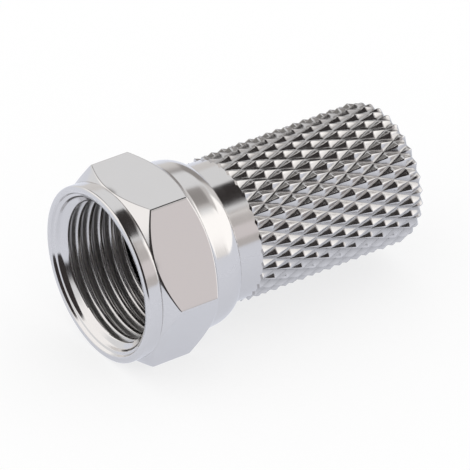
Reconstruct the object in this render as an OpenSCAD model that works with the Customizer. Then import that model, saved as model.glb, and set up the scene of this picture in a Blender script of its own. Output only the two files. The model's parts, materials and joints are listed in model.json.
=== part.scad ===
// Twist-on coaxial connector of the F type, for a round cable about 7 mm thick.
// The axis is X. The mating port comes in from -X, the cable from +X.
// The origin is the centre of the body's contact face, where the port's end seats.
// The nut lies on one of its wrench flats, so two flats face +Z and -Z.

/* [Coupling nut] */
// Width across the wrench flats
nut_across_flats = 11; // [10.8:0.1:12]
// Diameter of the round lip at the mouth
lip_d = 11.08; // [10.8:0.02:11.6]
// Length of the round lip
lip_len = 1; // [0.6:0.1:1.4]
// Radius of the roundings on the lip's edges
lip_edge_r = 0.2; // [0.1:0.05:0.3]
// Diameter at the foot of the cone between the lip and the flats
front_cone_d = 10.9; // [10.4:0.02:10.94]
// Length of the front cone, from its foot to the hexagon's corners
front_cone_len = 0.79; // [0.5:0.01:1.2]
// Length of the hexagon's corners, between the two cones
corner_len = 2.55; // [1.8:0.05:3.2]
// Length of the rear cone, from the hexagon's corners to the collar
rear_cone_len = 0.69; // [0.5:0.01:0.8]
// Slope of the collar behind the hexagon, in degrees
collar_taper = 6; // [3:1:12]
// Outer radius of the collar's shoulder, where its wall is rolled in
roll_r = 1.9; // [1.7:0.05:2.1]
// Thickness of the collar's wall where it is rolled in
roll_wall = 0.44; // [0.38:0.02:0.48]
// Slope at which the shoulder passes into the rounded end, in degrees
roll_angle = 34; // [30:1:40]
// Radius of the rounding at the rolled end
roll_edge_r = 0.4; // [0.3:0.02:0.44]

/* [Nut's thread and pocket] */
// Diameter of the hole over the crests of the 3/8-32 thread
thread_bore_d = 8.74; // [8.66:0.02:8.86]
// Diameter of the countersink inside the mouth's bevelled rim
mouth_d = 9.76; // [9.4:0.02:9.9]
// Depth of the countersink, from the mouth
mouth_len = 0.5; // [0.4:0.05:1]
// Width of the bevel inside the mouth's rim
rim_bevel = 0.32; // [0.1:0.02:0.34]
// Depth of the bevel inside the mouth's rim
rim_depth = 0.16; // [0.06:0.02:0.3]
// Depth from the nut's mouth to the body's contact face
seat_depth = 4.75; // [4.3:0.05:5]

/* [Fit between nut and body] */
// Gap round the body's flange in the nut's pocket
flange_gap = 0.08; // [0.05:0.01:0.1]
// Gap between the flange's front face and the step behind the thread
front_play = 0.1; // [0.05:0.05:0.25]
// Gap between the flange's rear face and the tip of the rolled edge
rear_play = 0.5; // [0.4:0.01:0.55]
// Gap between the rolled edge's hole and the body's neck
neck_gap = 0.08; // [0.05:0.01:0.12]

/* [Body] */
// Diameter of the flange that holds the nut
flange_d = 9.44; // [9.4:0.02:9.6]
// Thickness of the flange
flange_len = 1.6; // [1.5:0.05:1.7]
// Bevel on the flange's rear edge
flange_bevel = 0.23; // [0.15:0.01:0.26]
// Diameter of the smooth neck
neck_d = 8.76; // [8.6:0.02:8.9]
// Length of the neck, from the flange to the knurl
neck_len = 2.57; // [2.1:0.01:3]
// Diameter of the hole for the cable's inner insulation
dielectric_d = 4.9; // [4.6:0.1:5.2]
// Length of the hole for the cable's inner insulation
dielectric_len = 3.4; // [2.8:0.1:3.8]
// Diameter of the socket for the cable's jacket, over the crests of its thread
jacket_d = 6.8; // [6.4:0.1:7]
// Bevel at the socket's mouth
jacket_bevel = 0.22; // [0.1:0.02:0.26]

/* [Knurl] */
// Diameter over the tops of the diamonds
knurl_d = 9.12; // [8.96:0.02:9.4]
// Length of the knurled barrel
knurl_len = 12; // [9:0.5:15]
// Depth of the grooves
knurl_depth = 0.32; // [0.12:0.02:0.34]
// Number of diamonds round the barrel
diamonds_around = 30; // [24:1:40]
// Length of one diamond along the barrel
diamond_len = 2; // [1.4:0.02:2.6]
// Turn of the first row of diamonds about the axis, in degrees
knurl_turn = -2.4; // [-6:0.1:6]
// Radius of the rounding at the barrel's rear edge
rear_edge_r = 0.6; // [0.5:0.05:0.85]

/* [Hidden] */
$fn = 96;

// Steps in each small rounded edge
ARC_STEPS = 6;
// Overlap that carries a cut past the face that it opens
CUT = 0.5;

lip_r = lip_d / 2;
corner_r = nut_across_flats / 2 / cos(30);
front_x = -seat_depth;
cone_x = front_x + lip_len;
corner_x = cone_x + front_cone_len;
rear_corner_x = corner_x + corner_len;
collar_x = rear_corner_x + rear_cone_len;

// The pocket holds the flange, and the collar's edge is rolled in behind it.
pocket_r = flange_d / 2 + flange_gap;
roll_hole_r = neck_d / 2 + neck_gap;
roll_inner_r = roll_r - roll_wall;
roll_centre_r = pocket_r - roll_inner_r;
inner_tip_angle = acos((roll_hole_r - roll_centre_r) / roll_inner_r);
roll_centre_x = flange_len + rear_play - roll_inner_r * sin(inner_tip_angle);
roll_start_x = roll_centre_x + roll_r * sin(collar_taper);
roll_start_r = roll_centre_r + roll_r * cos(collar_taper);
collar_r = roll_start_r + (roll_start_x - collar_x) * tan(collar_taper);
roll_edge_x = roll_centre_x + (roll_r - roll_edge_r) * sin(roll_angle);
roll_edge_centre_r = roll_centre_r + (roll_r - roll_edge_r) * cos(roll_angle);
nut_end_x = roll_edge_x + roll_edge_r;

neck_end_x = flange_len + neck_len;
body_end_x = neck_end_x + knurl_len;

knurl_r = knurl_d / 2;
// Rows of diamond tops are half a diamond apart, and each row is turned half a pitch.
row_len = diamond_len / 2;
columns = 2 * diamonds_around;
full_rows = floor((knurl_len - rear_edge_r) / row_len);
ring_places = concat(
    [for (i = [0:full_rows]) i * row_len],
    [for (a = [30:30:90]) knurl_len - rear_edge_r * (1 - sin(a))]
);

// Points of a profile's arc about [x, r], from angle a0 to a1, where 0 points away from the axis.
// An arc that carries on from another leaves out the point that they share, with first = 1.
function arc(x, r, size, a0, a1, first = 0) =
    [for (i = [first:ARC_STEPS])
        let (a = a0 + (a1 - a0) * i / ARC_STEPS)
        [x + size * sin(a), r + size * cos(a)]];

// Solid of revolution about the X axis from a list of [x, r] points.
module turned(profile) {
    rotate([0, 90, 0])
        rotate_extrude()
            polygon([for (p = profile) [p[1], p[0]]]);
}

// The nut's turned outside: the lip, the two cones and the collar with its rolled end.
// The cones run out past the corners, so that they bevel the hexagon.
module nut_envelope() {
    front_slope = (corner_r - front_cone_d / 2) / front_cone_len;
    rear_slope = (corner_r - collar_r) / rear_cone_len;
    over = min(front_cone_len, rear_cone_len, corner_len) / 3;
    turned(concat(
        [[front_x, 0]],
        arc(front_x + lip_edge_r, lip_r - lip_edge_r, lip_edge_r, -90, 0),
        arc(cone_x - lip_edge_r / 2, lip_r - lip_edge_r / 2, lip_edge_r / 2, 0, 90),
        [
            [cone_x, front_cone_d / 2],
            [corner_x + over, corner_r + over * front_slope],
            [rear_corner_x - over, corner_r + over * rear_slope],
            [collar_x, collar_r]
        ],
        arc(roll_centre_x, roll_centre_r, roll_r, collar_taper, roll_angle),
        arc(roll_edge_x, roll_edge_centre_r, roll_edge_r, roll_angle, 90, first = 1),
        [[nut_end_x, 0]]
    ));
}

// The flats are milled on the length between the lip and the collar.
module nut_blank() {
    hex_len = collar_x - cone_x;
    clear_r = 2 * corner_r;
    difference() {
        nut_envelope();
        difference() {
            turned([
                [cone_x, 0],
                [cone_x, clear_r],
                [collar_x, clear_r],
                [collar_x, 0]
            ]);
            translate([cone_x - CUT, 0, 0])
                rotate([0, 90, 0])
                    rotate(30)
                        cylinder(h = hex_len + 2 * CUT, r = corner_r, $fn = 6);
        }
    }
}

// The bevelled rim, the countersink, the thread's bore, the flange's pocket and the hole in the rolled edge.
module nut_inside() {
    pocket_x = -front_play;
    turned(concat(
        [
            [front_x - CUT, 0],
            [front_x - CUT, mouth_d / 2 + rim_bevel],
            [front_x, mouth_d / 2 + rim_bevel],
            [front_x + rim_depth, mouth_d / 2],
            [front_x + mouth_len, thread_bore_d / 2],
            [pocket_x, thread_bore_d / 2],
            [pocket_x, pocket_r]
        ],
        arc(roll_centre_x, roll_centre_r, roll_inner_r, 0, inner_tip_angle),
        [
            [nut_end_x + CUT, roll_hole_r],
            [nut_end_x + CUT, 0]
        ]
    ));
}

module coupling_nut() {
    color([0.80, 0.80, 0.81])
        difference() {
            nut_blank();
            nut_inside();
        }
}

// Radius over the tops at a place along the knurl, with the rear edge rounded off.
function tops_r(place) =
    let (past = max(0, place - (knurl_len - rear_edge_r)))
    knurl_r - rear_edge_r + sqrt(rear_edge_r * rear_edge_r - min(past, rear_edge_r) ^ 2);

// Depth below the tops: none at a diamond's centre, full where two grooves cross.
function cut_depth(place, column) =
    let (m = (place / row_len + column) % 2)
    knurl_depth * min(m, 2 - m);

function knurl_point(place, column) =
    let (
        a = knurl_turn + 90 + column * 360 / columns,
        r = tops_r(place) - cut_depth(place, column)
    )
    [place, r * cos(a), r * sin(a)];

// Barrel of four-sided diamonds. Each cell between rings is split along its groove.
module knurl() {
    rings = len(ring_places);
    points = [for (place = ring_places) for (j = [0:columns - 1]) knurl_point(place, j)];
    function at(i, j) = i * columns + j % columns;
    sides = [
        for (i = [0:rings - 2])
            for (j = [0:columns - 1])
                each (i + j) % 2 == 0
                    ? [[at(i, j), at(i + 1, j), at(i, j + 1)],
                       [at(i + 1, j), at(i + 1, j + 1), at(i, j + 1)]]
                    : [[at(i, j), at(i + 1, j), at(i + 1, j + 1)],
                       [at(i, j), at(i + 1, j + 1), at(i, j + 1)]]
    ];
    // Each end is a fan about its centre.
    front_centre = rings * columns;
    rear_centre = front_centre + 1;
    ends = [
        for (j = [0:columns - 1])
            each [[front_centre, at(0, j), at(0, j + 1)],
                  [rear_centre, at(rings - 1, j + 1), at(rings - 1, j)]]
    ];
    polyhedron(concat(points, [[0, 0, 0], [knurl_len, 0, 0]]), concat(sides, ends));
}

// The flange, the neck, and a core that reaches into the knurled barrel.
module flange_and_neck() {
    core_r = knurl_r - 2 * knurl_depth;
    turned([
        [0, 0],
        [0, flange_d / 2],
        [flange_len - flange_bevel, flange_d / 2],
        [flange_len, flange_d / 2 - flange_bevel],
        [flange_len, neck_d / 2],
        [neck_end_x, neck_d / 2],
        [neck_end_x, core_r],
        [neck_end_x + row_len, core_r],
        [neck_end_x + row_len, 0]
    ]);
}

// The stepped hole from the contact face to the cable's end.
module body_inside() {
    turned([
        [-CUT, 0],
        [-CUT, dielectric_d / 2],
        [dielectric_len, dielectric_d / 2],
        [dielectric_len, jacket_d / 2],
        [body_end_x - jacket_bevel, jacket_d / 2],
        [body_end_x, jacket_d / 2 + jacket_bevel],
        [body_end_x + CUT, jacket_d / 2 + jacket_bevel],
        [body_end_x + CUT, 0]
    ]);
}

module knurled_body() {
    color([0.76, 0.76, 0.77])
        difference() {
            union() {
                flange_and_neck();
                translate([neck_end_x, 0, 0]) knurl();
            }
            body_inside();
        }
}

coupling_nut();
knurled_body();
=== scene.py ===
"""Twist-on F connector: a nickel-plated coupling nut that turns on a knurled body.

The nut and the body are grids of rings about the X axis. Lengths are in millimetres until
ring_mesh() writes metres, and angles about the axis start at +Y and turn towards +Z.
"""
import json
import math

import bpy
import numpy as np
from mathutils import Matrix, Vector


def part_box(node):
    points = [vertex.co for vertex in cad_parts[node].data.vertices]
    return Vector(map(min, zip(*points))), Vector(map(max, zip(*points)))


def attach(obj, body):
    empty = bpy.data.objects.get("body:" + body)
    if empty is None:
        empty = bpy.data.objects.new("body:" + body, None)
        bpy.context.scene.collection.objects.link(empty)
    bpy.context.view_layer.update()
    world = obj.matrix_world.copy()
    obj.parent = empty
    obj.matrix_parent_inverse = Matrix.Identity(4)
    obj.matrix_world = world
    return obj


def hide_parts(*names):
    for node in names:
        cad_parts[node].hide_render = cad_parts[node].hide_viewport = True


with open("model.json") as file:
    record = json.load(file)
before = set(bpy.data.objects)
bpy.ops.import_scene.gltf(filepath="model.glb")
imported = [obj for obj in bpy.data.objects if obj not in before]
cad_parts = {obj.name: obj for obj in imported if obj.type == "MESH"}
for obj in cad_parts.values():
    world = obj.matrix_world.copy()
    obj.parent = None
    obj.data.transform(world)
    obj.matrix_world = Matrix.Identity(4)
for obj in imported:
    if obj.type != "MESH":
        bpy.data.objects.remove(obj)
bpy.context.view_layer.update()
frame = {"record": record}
MM = 0.001


def node_box_mm(node):
    low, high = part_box(node)
    return np.array(low) / MM, np.array(high) / MM


def mount_size(name, key):
    mount = next(m for m in frame["record"]["mounts"] if m["name"] == name)
    return mount["dims"][key]


# ---------------------------------------------------------------- sizes from the frame
NUT_LOW, NUT_HIGH = node_box_mm("coupling_nut")
FRONT_X = NUT_LOW[0]
NUT_END_X = NUT_HIGH[0]
BODY_END_X = node_box_mm("knurled_body")[1][0]
CORNER_R = NUT_HIGH[1]
FLAT_R = CORNER_R * math.cos(math.radians(30))
LIP_R = NUT_HIGH[2]
FLOOR_Z = NUT_LOW[2]
THREAD_BORE_R = mount_size("coupling_thread", "r_mm")
DIELECTRIC_R = mount_size("dielectric_bore", "r_mm")
DIELECTRIC_LEN = mount_size("dielectric_bore", "length_mm")
JACKET_R = mount_size("jacket_socket", "r_mm")

# ---------------------------------------------------------------- the nut's other sizes
# Here and below, angles are in degrees, and a name that ends in _R is a radius.
LIP_LEN = 1.0
LIP_EDGE_R = 0.15
FRONT_CONE_R = 5.45
FRONT_CONE_LEN = 0.79
CORNER_LEN = 2.55
REAR_CONE_LEN = 0.69
COLLAR_TAPER = 6
ROLL_R = 1.9
ROLL_WALL = 0.44
ROLL_ANGLE = 34
ROLL_EDGE_R = 0.4
# The mouth from the front face inwards: depths and radii, with a step between the two parts.
RIM = ((0, 5.14), (0.2, 5.02))
COUNTERSINK = ((0.2, 4.88), (0.45, 4.76), (0.75, 4.37), (0.95, 4.11))
POCKET_R = 4.80
POCKET_X = -0.1
ROLL_HOLE_R = 4.46
THREAD_PITCH = 25.4 / 32
THREAD_ROOT_R = 9.525 / 2
THREAD_FLANK = 30
THREAD_START = 0.65
THREAD_FADE_IN = 0.4 * THREAD_PITCH
THREAD_TURN = 0.5  # where both threads' grooves are round the axis at x 0, in turns
THREAD_RINGS = 88
THREAD_BLEND = 0.03
FLAT_STEPS = 8
CORNER_ROUND = 0.14
CONE_ROUND = 0.08
CONE_EDGE_BAND = 0.1

# ---------------------------------------------------------------- the body's other sizes
FLANGE_R = 4.72
FLANGE_LEN = 1.6
FLANGE_BEVEL = 0.23
NECK_R = 4.38
NECK_END_X = 4.17
KNURL_R = 4.56
KNURL_DEPTH = 0.32
DIAMONDS_AROUND = 30
DIAMOND_LEN = 2.0
KNURL_TURN = -2.4
RIDGE_ROUND = 0.05  # the rounded part of a diamond's side, as a share of half a diamond
FACET_CURVE = 1.2  # 1 gives a diamond flat sides, and more makes them hollow
REAR_EDGE_R = 0.6
JACKET_BEVEL = 0.22
JACKET_PITCH = 1.6
JACKET_FLANK = 45
JACKET_THREAD_DEPTH = 0.3
JACKET_RINGS = 64
JACKET_BLEND = 0.04
JACKET_MARGIN = 0.05  # from the socket's ends to the thread's rings

# ---------------------------------------------------------------- painted shade in grooves, recesses and gaps, from 0 to 1
PAINTED_SHADE_FLANGE = 0.2
PAINTED_SHADE_BORE = 0.3
PAINTED_SHADE_SOCKET = 0.4
PAINTED_SHADE_GAP = 0.5
PAINTED_SHADE_CREST = 0.5
PAINTED_SHADE_POCKET = 0.6


# ---------------------------------------------------------------- mesh helpers
SHARP_ANGLE = 75


def soft_min(a, b, size):
    """The lesser of a and b, with the corner where they cross rounded over about size."""
    share = np.clip(0.5 + 0.5 * (b - a) / size, 0, 1)
    return b + (a - b) * share - size * share * (1 - share)


def soft_max(a, b, size):
    """The greater of a and b, rounded as in soft_min()."""
    return -soft_min(-a, -b, size)


def smooth_step(share):
    """From 0 to 1 with a level start and end."""
    share = np.clip(share, 0, 1)
    return share * share * (3 - 2 * share)


def arc(x, r, size, start, end, steps):
    """(x, r) points along a profile's arc. Angles are in degrees, and 0 points off the axis."""
    turns = np.radians(np.linspace(start, end, steps + 1))
    return [(x + size * math.sin(t), r + size * math.cos(t)) for t in turns]


def between(start, end, steps):
    """Points after start and before end, evenly spaced."""
    start, end = np.array(start), np.array(end)
    return [tuple(start + (end - start) * i / steps) for i in range(1, steps)]


class Rings:
    """Rings about the axis, in order round a closed section, with a painted shade value at each
    point.

    The value paints shade by darkening the plating, and it dulls the plating: 0 is unshaded, and
    1 is the bottom of a groove.
    """

    def __init__(self, angles):
        self.angles = angles
        self.xs, self.rs, self.turns, self.grime = [], [], [], []

    def add(self, x, r, grime=0.0, angles=None):
        turns = self.angles if angles is None else angles
        lists = (self.xs, self.rs, self.turns, self.grime)
        for values, value in zip(lists, (x, r, turns, grime)):
            values.append(np.broadcast_to(value, self.angles.shape).astype(float))

    def add_profile(self, points, grime=0.0):
        for x, r in points:
            self.add(x, r, grime)


def ring_mesh(name, rings):
    """A closed mesh whose faces join each ring to the next, and the last ring to the first."""
    xs, rs, turns = np.array(rings.xs), np.array(rings.rs), np.array(rings.turns)
    points = np.stack([xs, rs * np.cos(turns), rs * np.sin(turns)], -1) * MM
    index = np.arange(xs.size).reshape(xs.shape)
    ahead = np.roll(index, -1, 0)
    corners = (index, np.roll(index, -1, 1), np.roll(ahead, -1, 1), ahead)
    faces = np.stack(corners, -1).reshape(-1, 4)
    mesh = bpy.data.meshes.new(name)
    mesh.from_pydata(points.reshape(-1, 3).tolist(), [], faces.tolist())
    # A point value of painted shade: it darkens the plating in grooves and recesses, and dulls
    # it.
    grime = mesh.attributes.new("grime", "FLOAT", "POINT")
    grime.data.foreach_set("value", np.array(rings.grime, np.float32).ravel())
    mesh.shade_smooth()
    mesh.set_sharp_from_angle(angle=math.radians(SHARP_ANGLE))
    piece = bpy.data.objects.new(name, mesh)
    bpy.context.scene.collection.objects.link(piece)
    return piece


# ---------------------------------------------------------------- the coupling nut
def nut_angles():
    """Columns round the nut, closer together at the hexagon's corners."""
    near_corner = [0, 0.2, 0.45, 0.75, 1.1, 1.6, 2.3, 3.2, 4.3]
    half = np.concatenate([near_corner, np.linspace(5.5, 30, 28)])
    sector = np.concatenate([half, 60 - half[-2:0:-1]])
    return np.radians(np.concatenate([sector + 60 * k for k in range(6)]))


def hexagon_r(angles):
    """Distance from the axis to the wrench flats, with the corners slightly rounded."""
    off_flat = np.abs(np.degrees(angles) % 60 - 30)
    this_flat = FLAT_R / np.cos(np.radians(off_flat))
    next_flat = FLAT_R / np.cos(np.radians(60 - off_flat))
    return soft_min(this_flat, next_flat, CORNER_ROUND)


def thread_r(x, angles, pitch, crest_r, root_r, flank_deg):
    """Radius of a right-handed inside thread with rounded crests and roots.

    flank_deg is the angle of its flanks to a plane across the axis. The groove's floor is
    an eighth of the pitch wide.
    """
    tan_flank = math.tan(math.radians(flank_deg))
    turn = (x / pitch - angles / (2 * math.pi) - THREAD_TURN) % 1.0
    off_groove = np.minimum(turn, 1 - turn) * pitch
    depth = root_r - crest_r
    half_width = pitch / 16 + depth * tan_flank
    cut = (half_width - off_groove) / tan_flank
    cut = soft_max(soft_min(cut, depth, pitch / 10), 0, pitch / 10)
    return crest_r + cut


def add_cone_to_flat(rings, cone_x, cone_r, slope, flat_r, forwards):
    """Rings from a cone's foot over its rounded edge on to the wrench flats.

    The rings of the edge are close together, in a band that is narrower where the cone is short.
    """
    edge_x = cone_x + (flat_r - cone_r) / slope
    band = np.minimum(CONE_EDGE_BAND, 0.9 * np.abs(edge_x - cone_x)) * np.sign(slope)
    rows = []
    for share in (0.0, 0.3, 0.6, 0.85):
        x = cone_x + (edge_x - band - cone_x) * share
        rows.append((x, cone_r + (x - cone_x) * slope))
    for share in (-1, -0.6, -0.35, -0.15, 0, 0.15, 0.35, 0.6, 1):
        x = edge_x + band * share
        rows.append((x, soft_min(cone_r + (x - cone_x) * slope, flat_r, CONE_ROUND)))
    for x, r in rows if forwards else rows[::-1]:
        rings.add(x, r)


def build_nut():
    rings = Rings(nut_angles())
    flat_r = hexagon_r(rings.angles)
    cone_x = FRONT_X + LIP_LEN
    corner_x = cone_x + FRONT_CONE_LEN
    collar_x = corner_x + CORNER_LEN + REAR_CONE_LEN
    # The collar's shoulder is an arc, which passes into the smaller rounding at the nut's end.
    roll_centre_r = POCKET_R - (ROLL_R - ROLL_WALL)
    roll_end = math.radians(ROLL_ANGLE)
    end_x = NUT_END_X - ROLL_EDGE_R
    end_r = roll_centre_r + (ROLL_R - ROLL_EDGE_R) * math.cos(roll_end)
    roll_centre_x = end_x - (ROLL_R - ROLL_EDGE_R) * math.sin(roll_end)
    taper = math.radians(COLLAR_TAPER)
    roll_x = roll_centre_x + ROLL_R * math.sin(taper)
    roll_r = roll_centre_r + ROLL_R * math.cos(taper)
    collar_r = roll_r + (roll_x - collar_x) * math.tan(taper)
    front_slope = (CORNER_R - FRONT_CONE_R) / FRONT_CONE_LEN
    rear_slope = (CORNER_R - collar_r) / REAR_CONE_LEN

    # Outside, from the mouth to the rolled edge.
    lip_back = LIP_EDGE_R / 2
    rings.add_profile(arc(FRONT_X + LIP_EDGE_R, LIP_R - LIP_EDGE_R, LIP_EDGE_R, -90, 0, 7))
    rings.add_profile(between((FRONT_X + LIP_EDGE_R, LIP_R), (cone_x - lip_back, LIP_R), 4))
    rings.add_profile(arc(cone_x - lip_back, LIP_R - lip_back, lip_back, 0, 90, 4))
    add_cone_to_flat(rings, cone_x, FRONT_CONE_R, front_slope, flat_r, True)
    front_edge = cone_x + (flat_r - FRONT_CONE_R) / front_slope + CONE_EDGE_BAND
    rear_edge = collar_x - (flat_r - collar_r) / rear_slope - CONE_EDGE_BAND
    for i in range(1, FLAT_STEPS):
        rings.add(front_edge + (rear_edge - front_edge) * i / FLAT_STEPS, flat_r)
    add_cone_to_flat(rings, collar_x, collar_r, -rear_slope, flat_r, False)
    rings.add_profile(between((collar_x, collar_r), (roll_x, roll_r), 6))
    rings.add_profile(arc(roll_centre_x, roll_centre_r, ROLL_R, COLLAR_TAPER, ROLL_ANGLE, 10))
    rings.add_profile(arc(end_x, end_r, ROLL_EDGE_R, ROLL_ANGLE, 90, 8)[1:])
    rings.add(NUT_END_X, ROLL_HOLE_R, PAINTED_SHADE_BORE)

    # Inside, from the rolled edge back to the mouth.
    inner_r = ROLL_R - ROLL_WALL
    inner_tip = math.degrees(math.acos((ROLL_HOLE_R - roll_centre_r) / inner_r))
    # The pocket inside the nut gets painted shade.
    rings.add_profile(arc(roll_centre_x, roll_centre_r, inner_r, inner_tip, 0, 6), PAINTED_SHADE_POCKET)
    pocket = [*between((roll_centre_x, POCKET_R), (POCKET_X, POCKET_R), 3), (POCKET_X, POCKET_R)]
    rings.add_profile(pocket, PAINTED_SHADE_POCKET)
    thread = (THREAD_PITCH, THREAD_BORE_R, THREAD_ROOT_R, THREAD_FLANK)
    for x in np.linspace(POCKET_X, FRONT_X + COUNTERSINK[0][0], THREAD_RINGS):
        cone = np.interp(x - FRONT_X, *zip(*COUNTERSINK))
        groove = thread_r(x, rings.angles, *thread)
        begun = smooth_step((x - FRONT_X - THREAD_START) / THREAD_FADE_IN)
        groove = THREAD_BORE_R + (groove - THREAD_BORE_R) * begun
        depth = (groove - THREAD_BORE_R) / (THREAD_ROOT_R - THREAD_BORE_R)
        # Painted shade in the thread, darker towards the bottoms of its grooves.
        grime = begun * (PAINTED_SHADE_CREST + (1 - PAINTED_SHADE_CREST) * depth)
        rings.add(x, soft_max(groove, cone, THREAD_BLEND), grime)
    rim = [(FRONT_X + depth, r) for depth, r in RIM[::-1]]
    rings.add_profile([rim[0], *between(*rim, 4), rim[1]])
    return ring_mesh("nut", rings)


# ---------------------------------------------------------------- the knurled body
def knurl_places(along):
    """Places round one ring, in half diamonds: columns from each ridge down to its grooves.

    A groove stays a little off the ridges, so that no two columns fall together.
    """
    halves = np.arange(2 * DIAMONDS_AROUND)
    falling = (math.floor(along) + halves) % 2 == 0
    groove = np.clip(np.where(falling, 1 - along % 1, along % 1), 0.02, 0.98)
    down = np.array([0, 0.15, 0.35, 0.6])
    up = 1 - down[:0:-1]
    columns = [groove[:, None] * down, groove[:, None]]
    columns.append(groove[:, None] + (1 - groove[:, None]) * up)
    return (halves[:, None] + np.concatenate(columns, 1)).ravel()


def knurl_angles(places):
    """Angles about the axis of places that count half diamonds."""
    return np.radians(KNURL_TURN + 90 + places * 180 / DIAMONDS_AROUND)


def rounded_slope(share):
    """A slope of 1 that starts from a rounded ridge."""
    return np.where(share < RIDGE_ROUND, share ** 2 / (2 * RIDGE_ROUND), share - RIDGE_ROUND / 2)


def knurl_depth_share(along, around):
    """0 on top of a diamond and 1 in the grooves round it. Both places count half diamonds."""
    p, q = np.round((along + around) / 2), np.round((along - around) / 2)
    slope = rounded_slope(np.abs(along - p - q)) + rounded_slope(np.abs(around - p + q))
    return 1 - np.maximum(1 - slope / (1 - RIDGE_ROUND), 0) ** FACET_CURVE


def build_body():
    angles = knurl_angles(knurl_places(0.5))
    rings = Rings(angles)
    row_len = DIAMOND_LEN / 2
    knurl_len = BODY_END_X - NECK_END_X
    straight = knurl_len - REAR_EDGE_R

    # Outside, from the contact face to the cable's end.
    # The flange, the gap behind it, the socket and the bore get painted shade values.
    rings.add_profile(between((0, DIELECTRIC_R), (0, FLANGE_R), 5), PAINTED_SHADE_FLANGE)
    rings.add_profile([(0, FLANGE_R), (FLANGE_LEN - FLANGE_BEVEL, FLANGE_R)], PAINTED_SHADE_FLANGE)
    rings.add_profile([(FLANGE_LEN, FLANGE_R - FLANGE_BEVEL), (FLANGE_LEN, NECK_R)], PAINTED_SHADE_GAP)
    rings.add_profile(between((FLANGE_LEN, NECK_R), (NECK_END_X, NECK_R), 9))
    rings.add(NECK_END_X, NECK_R)
    rows = int(straight / row_len)
    near_ridge = (0, 0.05, 0.11)
    shares = near_ridge + (0.5,) + tuple(1 - share for share in near_ridge[:0:-1])
    alongs = [row + share for row in range(rows) for share in shares]
    edge = [(straight + REAR_EDGE_R * math.sin(t)) / row_len
            for t in np.radians(np.linspace(0, 90, 10))]
    for along in alongs + [rows + share for share in near_ridge] + edge:
        x = min(along * row_len, knurl_len)
        past = max(0.0, x - straight)
        tops = KNURL_R - REAR_EDGE_R + math.sqrt(max(0.0, REAR_EDGE_R ** 2 - past ** 2))
        around = knurl_places(along)
        share = knurl_depth_share(along, around)
        # The depth share is also painted shade, darker towards the bottoms of the grooves.
        rings.add(NECK_END_X + x, tops - KNURL_DEPTH * share, share, knurl_angles(around))

    # Inside, from the cable's end back to the contact face.
    rings.add(BODY_END_X, JACKET_R + JACKET_BEVEL)
    thread = (JACKET_PITCH, JACKET_R, JACKET_R + JACKET_THREAD_DEPTH, JACKET_FLANK)
    first_x, last_x = BODY_END_X - JACKET_MARGIN, DIELECTRIC_LEN + JACKET_MARGIN
    for x in np.linspace(first_x, last_x, JACKET_RINGS):
        cone = JACKET_R + JACKET_BEVEL - (BODY_END_X - x)
        groove = thread_r(x, angles, *thread)
        rings.add(x, soft_max(groove, cone, JACKET_BLEND), PAINTED_SHADE_SOCKET)
    rings.add_profile([(DIELECTRIC_LEN, JACKET_R), (DIELECTRIC_LEN, DIELECTRIC_R)], PAINTED_SHADE_SOCKET)
    rings.add_profile(between((DIELECTRIC_LEN, DIELECTRIC_R), (0, DIELECTRIC_R), 3), PAINTED_SHADE_BORE)
    rings.add(0, DIELECTRIC_R, PAINTED_SHADE_FLANGE)
    return ring_mesh("body", rings)


# ---------------------------------------------------------------- materials
NUT_COLOUR = (0.66, 0.645, 0.635)
BODY_COLOUR = (0.64, 0.625, 0.615)
CLOUD_ROUGHNESS = (0.75, 1.35)  # from and to, as shares of the roughness
PAINTED_SHADE_SHOWS = 0.3  # the painted shade value at which the darkening begins
PAINTED_SHADE_MOST = 0.55  # how far full painted shade takes the plating towards the dark colour
PAINTED_SHADE_DARK = 0.45  # the painted shade's dark colour, as a share of the plating's own
MARK_DEPTH = 0.004


def new_node(tree, kind, **inputs):
    node = tree.nodes.new(kind)
    for name, value in inputs.items():
        node.inputs[name.replace("_", " ")].default_value = value
    return node


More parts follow.
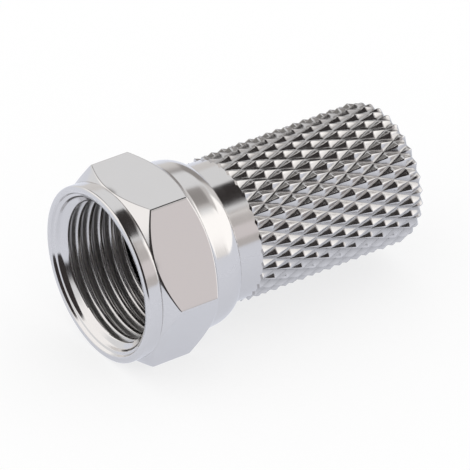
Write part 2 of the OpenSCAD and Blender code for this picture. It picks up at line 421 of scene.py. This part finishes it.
def nickel(name, colour, roughness, dulling):
    """Bright nickel plating: turning marks about the axis, a faint cloud and painted shade in the
    grooves.

    dulling says how much rougher the painted shade makes it. The scales of the noise are per
    metre.
    """
    material = bpy.data.materials.new(name)
    material.use_nodes = True
    tree = material.node_tree
    link = tree.links.new
    shader = tree.nodes["Principled BSDF"]
    shader.inputs["Metallic"].default_value = 1.0

    place = tree.nodes.new("ShaderNodeTexCoord").outputs["Object"]
    split = tree.nodes.new("ShaderNodeSeparateXYZ")
    link(place, split.inputs[0])
    flat = tree.nodes.new("ShaderNodeCombineXYZ")
    link(split.outputs["Y"], flat.inputs["X"])
    link(split.outputs["Z"], flat.inputs["Y"])
    length = tree.nodes.new("ShaderNodeVectorMath")
    length.operation = "LENGTH"
    link(flat.outputs[0], length.inputs[0])
    section = tree.nodes.new("ShaderNodeCombineXYZ")
    link(split.outputs["X"], section.inputs["X"])
    link(length.outputs["Value"], section.inputs["Y"])

    marks = new_node(tree, "ShaderNodeTexNoise", Scale=9000.0, Detail=4.0, Roughness=0.6)
    link(section.outputs[0], marks.inputs["Vector"])
    cloud = new_node(tree, "ShaderNodeTexNoise", Scale=700.0, Detail=5.0, Roughness=0.6)
    link(place, cloud.inputs["Vector"])
    grain = new_node(tree, "ShaderNodeTexNoise", Scale=16000.0, Detail=2.0, Roughness=0.5)
    link(place, grain.inputs["Vector"])

    gloss = new_node(tree, "ShaderNodeMapRange", From_Min=0.3, From_Max=0.75,
                     To_Min=roughness * CLOUD_ROUGHNESS[0],
                     To_Max=roughness * CLOUD_ROUGHNESS[1])
    link(cloud.outputs["Fac"], gloss.inputs["Value"])

    # This attribute paints shade: it darkens the plating in grooves and recesses, and dulls it.
    grime = tree.nodes.new("ShaderNodeAttribute")
    grime.attribute_name = "grime"
    shade = new_node(tree, "ShaderNodeMapRange", From_Min=PAINTED_SHADE_SHOWS, From_Max=1.0,
                     To_Min=0.0, To_Max=PAINTED_SHADE_MOST)
    link(grime.outputs["Fac"], shade.inputs["Value"])
    paint = tree.nodes.new("ShaderNodeMix")
    paint.data_type = "RGBA"
    paint.inputs["A"].default_value = (*colour, 1)
    paint.inputs["B"].default_value = (*[c * PAINTED_SHADE_DARK for c in colour], 1)
    link(shade.outputs["Result"], paint.inputs["Factor"])
    link(paint.outputs["Result"], shader.inputs["Base Color"])
    duller = tree.nodes.new("ShaderNodeMath")
    duller.operation = "MULTIPLY_ADD"
    duller.inputs[1].default_value = dulling
    link(shade.outputs["Result"], duller.inputs[0])
    link(gloss.outputs["Result"], duller.inputs[2])
    link(duller.outputs[0], shader.inputs["Roughness"])

    fine = new_node(tree, "ShaderNodeBump", Strength=0.25, Distance=MARK_DEPTH * MM)
    link(marks.outputs["Fac"], fine.inputs["Height"])
    rough = new_node(tree, "ShaderNodeBump", Strength=0.2, Distance=MARK_DEPTH * MM)
    link(grain.outputs["Fac"], rough.inputs["Height"])
    link(fine.outputs["Normal"], rough.inputs["Normal"])
    link(rough.outputs["Normal"], shader.inputs["Normal"])
    return material


# ---------------------------------------------------------------- camera, light and floor
# The camera is at an azimuth, an elevation and a distance from the middle of the mouth, and
# looks at AIM.
VIEW_AZIMUTH = -32.48
VIEW_ELEVATION = 32.35
VIEW_ROLL = -0.52
VIEW_DISTANCE = 300.8
LENS = 388.9
SENSOR_WIDTH = 36
AIM = (2.817, -3.437, 1.835)


def direction(azimuth, elevation):
    """Unit vector towards a place. Azimuth 0 is -Y, and 90 is +X."""
    az, el = math.radians(azimuth), math.radians(elevation)
    return Vector((math.cos(el) * math.sin(az), -math.cos(el) * math.cos(az), math.sin(el)))


def add_camera():
    data = bpy.data.cameras.new("camera")
    data.lens = LENS
    data.sensor_width = SENSOR_WIDTH
    data.clip_start = 10 * MM
    camera = bpy.data.objects.new("camera", data)
    bpy.context.scene.collection.objects.link(camera)
    mouth = Vector((FRONT_X, 0, 0))
    place = (mouth + direction(VIEW_AZIMUTH, VIEW_ELEVATION) * VIEW_DISTANCE) * MM
    turn = (Vector(AIM) * MM - place).to_track_quat("-Z", "Y")
    roll = Matrix.Rotation(math.radians(VIEW_ROLL), 4, "Z")
    camera.matrix_world = Matrix.Translation(place) @ turn.to_matrix().to_4x4() @ roll
    bpy.context.scene.camera = camera


FLOOR_IN_METAL = (0.89, 0.92, 1.01)
WALL = (0.95, 0.96, 0.98)
SOFTBOX = (1.5, 1.48, 1.46)
FLAG = (0.04, 0.035, 0.035)
GREY = (0.64, 0.61, 0.60)
# What the metal sees round it: azimuths and elevations from and to, the soft edge, the colour.
# A later card covers those before it. The last two are the floor away from the part: it is pale,
# and dark far out in front.
CARDS = (
    (102, 175, -20, 24, 4, (0.83, 0.81, 0.80)),
    (12, 46, -12, 53, 3, GREY),
    (14, 46, 11, 29, 2, (0.88, 0.83, 0.84)),
    (70, 112, 30, 57, 4, (0.72, 0.70, 0.69)),
    (160, 190, 26, 72, 4, (0.3, 0.29, 0.28)),
    (153, 170, 38, 72, 3, (0.3, 0.29, 0.28)),
    (118, 143, -8, 28, 4, (0.38, 0.36, 0.35)),
    (76, 112, 47, 60, 3, (0.4, 0.38, 0.37)),
    (-175, -84, 18, 90, 4, (1.3, 1.28, 1.27)),
    (40, 100, -7, 33, 2, SOFTBOX),
    (42, 72, 20, 44, 3, SOFTBOX),
    (-90, 180, 70, 91, 4, FLAG),
    (46, 118, 54, 91, 3, FLAG),
    (6, 52, 58, 91, 3, FLAG),
    (-78, 11, -4, 91, 3, FLAG),
    (-190, 190, -100, 0, 0.1, FLOOR_IN_METAL),
    (-78, 11, -10, 4, 2, FLAG),
)
FLOOR_HALF = 3000
FLOOR_GLOW = 0.7
# Between these distances from the part's middle the metal sees less and less of the floor itself.
FLOOR_FADE = (14, 24)


def math_node(tree, operation, *inputs):
    """The output of a math node. Its inputs are numbers or other outputs."""
    node = tree.nodes.new("ShaderNodeMath")
    node.operation = operation
    for socket, value in zip(node.inputs, inputs):
        if isinstance(value, (int, float)):
            socket.default_value = value
        else:
            tree.links.new(value, socket)
    return node.outputs[0]


def inside(tree, value, low, high, soft):
    """1 between low and high, and 0 outside them, with a soft edge."""
    centred = math_node(tree, "SUBTRACT", value, (low + high) / 2)
    edge = tree.nodes.new("ShaderNodeMapRange")
    edge.interpolation_type = "SMOOTHSTEP"
    edge.inputs["From Min"].default_value = (high - low) / 2 + soft
    edge.inputs["From Max"].default_value = (high - low) / 2 - soft
    tree.links.new(math_node(tree, "ABSOLUTE", centred), edge.inputs["Value"])
    return edge.outputs["Result"]


def plain_colour(tree, colour):
    node = tree.nodes.new("ShaderNodeRGB")
    node.outputs[0].default_value = (*colour, 1)
    return node.outputs[0]


def with_cards(tree, seen, towards):
    """The colour seen, with the cards over it. A ray looks in the direction towards."""
    link = tree.links.new
    split = tree.nodes.new("ShaderNodeSeparateXYZ")
    link(towards, split.inputs[0])
    to_front = math_node(tree, "MULTIPLY", split.outputs["Y"], -1)
    turn = math_node(tree, "ARCTAN2", split.outputs["X"], to_front)
    azimuth = math_node(tree, "DEGREES", turn)
    elevation = math_node(tree, "DEGREES", math_node(tree, "ARCSINE", split.outputs["Z"]))
    for az_from, az_to, el_from, el_to, soft, card_colour in CARDS:
        card = tree.nodes.new("ShaderNodeMix")
        card.data_type = "RGBA"
        card.inputs["B"].default_value = (*card_colour, 1)
        link(seen, card.inputs["A"])
        across = inside(tree, azimuth, az_from, az_to, soft)
        up = inside(tree, elevation, el_from, el_to, soft)
        link(math_node(tree, "MULTIPLY", across, up), card.inputs["Factor"])
        seen = card.outputs["Result"]
    return seen


def is_glossy(tree):
    return tree.nodes.new("ShaderNodeLightPath").outputs["Is Glossy Ray"]


def white_except_in_metal(tree, seen):
    """The colour seen for the metal's reflections, and white for the camera and the light."""
    pick = tree.nodes.new("ShaderNodeMix")
    pick.data_type = "RGBA"
    pick.inputs["A"].default_value = (1, 1, 1, 1)
    tree.links.new(seen, pick.inputs["B"])
    tree.links.new(is_glossy(tree), pick.inputs["Factor"])
    return pick.outputs["Result"]


def far_from_part(tree):
    """0 near the part and 1 away from it, by the place in the world."""
    away = tree.nodes.new("ShaderNodeVectorMath")
    away.operation = "DISTANCE"
    away.inputs[1].default_value = ((FRONT_X + BODY_END_X) / 2 * MM, 0, FLOOR_Z * MM)
    place = tree.nodes.new("ShaderNodeNewGeometry").outputs["Position"]
    tree.links.new(place, away.inputs[0])
    near, far = FLOOR_FADE
    fade = new_node(tree, "ShaderNodeMapRange", From_Min=near * MM, From_Max=far * MM)
    tree.links.new(away.outputs["Value"], fade.inputs["Value"])
    return fade.outputs["Result"]


def add_floor():
    """A white table: most of its light is its own, so that only a soft shadow is left on it.

    The metal sees it near the part, and past that the cards of the world through it.
    """
    half = FLOOR_HALF * MM
    mesh = bpy.data.meshes.new("floor")
    corners = [(-half, -half, 0), (half, -half, 0), (half, half, 0), (-half, half, 0)]
    mesh.from_pydata(corners, [], [(0, 1, 2, 3)])
    floor = bpy.data.objects.new("floor", mesh)
    floor.location.z = FLOOR_Z * MM
    bpy.context.scene.collection.objects.link(floor)

    material = bpy.data.materials.new("floor")
    material.use_nodes = True
    tree = material.node_tree
    tree.nodes.clear()
    link = tree.links.new
    colour = white_except_in_metal(tree, plain_colour(tree, FLOOR_IN_METAL))
    matt = tree.nodes.new("ShaderNodeBsdfDiffuse")
    glow = tree.nodes.new("ShaderNodeEmission")
    white = new_node(tree, "ShaderNodeMixShader", Fac=FLOOR_GLOW)
    link(colour, matt.inputs["Color"])
    link(colour, glow.inputs["Color"])
    link(matt.outputs[0], white.inputs[1])
    link(glow.outputs[0], white.inputs[2])

    clear = tree.nodes.new("ShaderNodeBsdfTransparent")
    faded = tree.nodes.new("ShaderNodeMixShader")
    out = tree.nodes.new("ShaderNodeOutputMaterial")
    link(math_node(tree, "MULTIPLY", far_from_part(tree), is_glossy(tree)), faded.inputs["Fac"])
    link(white.outputs[0], faded.inputs[1])
    link(clear.outputs[0], faded.inputs[2])
    link(faded.outputs[0], out.inputs["Surface"])
    mesh.materials.append(material)


def add_world():
    """A white room that the metal sees with soft boxes, a dark ceiling and a dark front."""
    world = bpy.data.worlds.new("studio")
    bpy.context.scene.world = world
    world.use_nodes = True
    tree = world.node_tree
    tree.nodes.clear()
    towards = tree.nodes.new("ShaderNodeTexCoord").outputs["Generated"]
    backdrop = tree.nodes.new("ShaderNodeBackground")
    out = tree.nodes.new("ShaderNodeOutputWorld")
    seen = with_cards(tree, plain_colour(tree, WALL), towards)
    colour = white_except_in_metal(tree, seen)
    tree.links.new(colour, backdrop.inputs["Color"])
    tree.links.new(backdrop.outputs[0], out.inputs["Surface"])


# ---------------------------------------------------------------- the scene
bpy.context.scene.view_settings.view_transform = "Standard"
add_camera()
add_world()
add_floor()

nut = build_nut()
nut.data.materials.append(nickel("nut_nickel", NUT_COLOUR, roughness=0.12, dulling=0.45))
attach(nut, "nut")
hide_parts("coupling_nut")

body = build_body()
body.data.materials.append(nickel("body_nickel", BODY_COLOUR, roughness=0.13, dulling=0.1))
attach(body, "body")
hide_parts("knurled_body")
